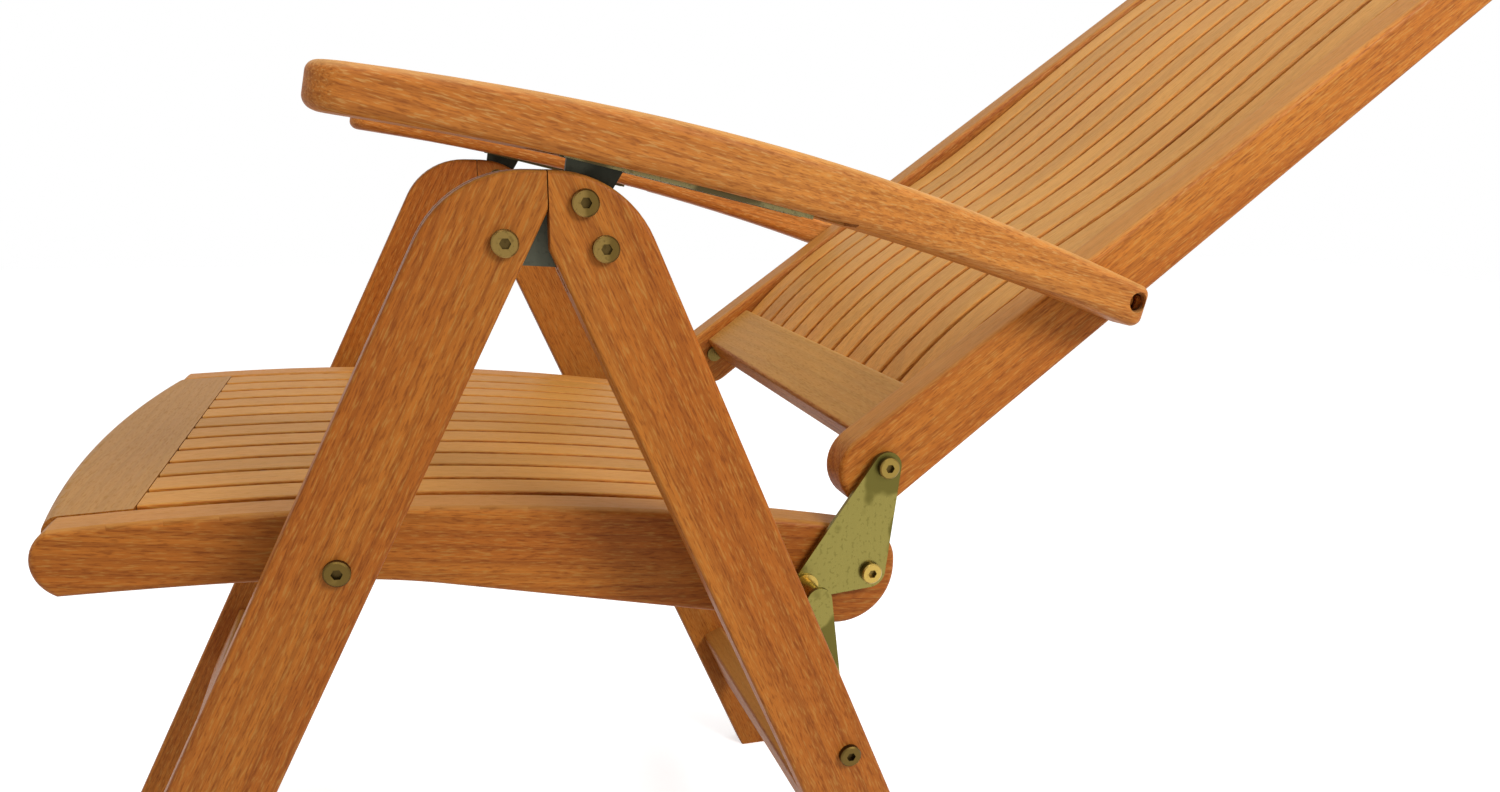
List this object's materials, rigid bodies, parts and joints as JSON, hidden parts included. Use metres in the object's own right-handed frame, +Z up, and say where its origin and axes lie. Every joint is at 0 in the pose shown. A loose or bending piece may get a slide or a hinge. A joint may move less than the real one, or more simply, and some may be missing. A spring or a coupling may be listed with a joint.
{
  "type": "reclining garden armchair",
  "caption": "Slatted hardwood folding armchair with a high reclining back, A-shaped legs and curved armrests on brass fittings.",
  "frame": {"origin": "on the ground, under the middle of the chair's box in plan", "axes": "+X towards the sitter's left, +Y towards the rear, +Z up"},
  "size_m": [0.574, 1.1049, 0.8542],
  "materials": {
    "hardwood": "oiled",
    "brass": "satin",
    "steel": "dark"
  },
  "bodies": {
    "rear_frame": {"rear_leg_left": "hardwood", "rear_leg_right": "hardwood", "rear_stretcher": "hardwood", "hinge_plate_left": "steel", "hinge_plate_right": "steel", "rear_leg_bolts": "brass", "track_pins": "steel"},
    "front_frame": {"front_leg_left": "hardwood", "front_leg_right": "hardwood", "front_stretcher": "hardwood", "front_leg_bolts": "brass"},
    "seat": {"seat_rail_left": "hardwood", "seat_rail_right": "hardwood", "seat_front_board": "hardwood", "seat_rear_rail": "hardwood", "seat_batten": "hardwood", "seat_spacers": "brass", "plate_seat_bolts": "brass", "seat_slat_01": "hardwood", "seat_slat_02": "hardwood", "seat_slat_03": "hardwood", "seat_slat_04": "hardwood", "seat_slat_05": "hardwood", "seat_slat_06": "hardwood", "seat_slat_07": "hardwood", "seat_slat_08": "hardwood", "seat_slat_09": "hardwood", "seat_slat_10": "hardwood", "seat_slat_11": "hardwood", "seat_slat_12": "hardwood"},
    "back_plates": {"plate_left": "brass", "plate_right": "brass", "plate_washers": "brass", "link_sleeves": "brass"},
    "links": {"link_left": "brass", "link_right": "brass"},
    "back_pivots": {"back_pivot_bolts": "brass"},
    "back": {"stile_left": "hardwood", "stile_right": "hardwood", "back_bottom_rail": "hardwood", "back_top_rail": "hardwood", "back_batten": "hardwood", "back_slat_01": "hardwood", "back_slat_02": "hardwood", "back_slat_03": "hardwood", "back_slat_04": "hardwood", "back_slat_05": "hardwood", "back_slat_06": "hardwood", "back_slat_07": "hardwood", "back_slat_08": "hardwood", "back_slat_09": "hardwood", "back_slat_10": "hardwood", "back_slat_11": "hardwood", "back_slat_12": "hardwood"},
    "arm_pivots": {"arm_pivot_bolts": "brass"},
    "armrests": {"armrest_left": "hardwood", "armrest_right": "hardwood", "track_left": "brass", "track_right": "brass", "arm_inserts": "brass"}
  },
  "joints": [
    {"name": "leg_fold", "type": "hinge", "parent": "rear_frame", "child": "front_frame", "pos_m": [0, -0.19687, 0.609], "axis": [1, 0, 0], "range_deg": [0, 50.5]},
    {"name": "seat_swing", "type": "hinge", "parent": "front_frame", "child": "seat", "pos_m": [0, -0.28696, 0.4485], "axis": [1, 0, 0], "range_deg": [-92.55, 0]},
    {"name": "plate_swing", "type": "hinge", "parent": "seat", "child": "back_plates", "pos_m": [0, 0.02584, 0.3992], "axis": [1, 0, 0], "range_deg": [0, 1.75]},
    {"name": "link_swing", "type": "hinge", "parent": "rear_frame", "child": "links", "pos_m": [0, -0.00435, 0.3015], "axis": [1, 0, 0], "range_deg": [-165.35, 0]},
    {"name": "back_fold", "type": "hinge", "parent": "back_plates", "child": "back_pivots", "pos_m": [0, 0.03394, 0.468], "axis": [1, 0, 0], "range_deg": [0, 97.85]},
    {"name": "back_recline", "type": "hinge", "parent": "back_pivots", "child": "back", "pos_m": [0, 0.03394, 0.468], "axis": [1, 0, 0], "range_deg": [0, 35]},
    {"name": "arm_fold", "type": "hinge", "parent": "back", "child": "arm_pivots", "pos_m": [0, 0.18346, 0.56956], "axis": [1, 0, 0], "range_deg": [-117.65, 0]},
    {"name": "arm_swing", "type": "hinge", "parent": "arm_pivots", "child": "armrests", "pos_m": [0, 0.18346, 0.56956], "axis": [1, 0, 0], "range_deg": [-24.16, 0]}
  ],
  "couplings": [
    {"joint": "seat_swing", "follows": "leg_fold", "ratio": -1.8317},
    {"joint": "plate_swing", "follows": "leg_fold", "ratio": 0.033663},
    {"joint": "link_swing", "follows": "leg_fold", "ratio": -3.2733},
    {"joint": "back_fold", "follows": "leg_fold", "ratio": 1.9366},
    {"joint": "arm_fold", "follows": "leg_fold", "ratio": -2.3287},
    {"joint": "arm_swing", "follows": "back_recline", "ratio": -0.689}
  ]
}
